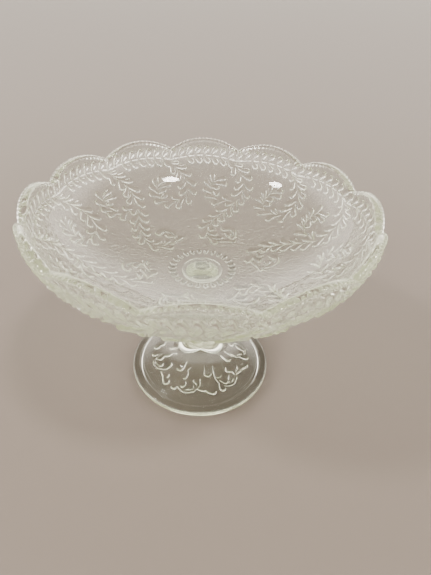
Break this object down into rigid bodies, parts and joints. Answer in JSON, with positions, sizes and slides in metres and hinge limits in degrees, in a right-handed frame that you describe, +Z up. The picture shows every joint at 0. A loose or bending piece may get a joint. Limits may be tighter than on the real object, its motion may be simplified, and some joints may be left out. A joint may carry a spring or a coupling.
{
  "type": "footed glass bowl",
  "caption": "Clear pressed-glass bowl with a scalloped rim, stuck by a glass wafer to a waisted stem on a round hollow foot, for butter or sweets.",
  "frame": {"origin": "on the table, under the middle of the foot", "axes": "+Z up along the stem; +X and -Y across the bowl, with a notch of the rim 15 degrees either side of -Y"},
  "size_m": [0.175, 0.175, 0.12],
  "materials": {
    "clear_glass": "fire-polished pressed glass, patterned outside and smooth inside"
  },
  "bodies": {
    "root": {"bowl": "clear_glass", "joining_wafer": "clear_glass", "foot": "clear_glass"}
  },
  "joints": []
}
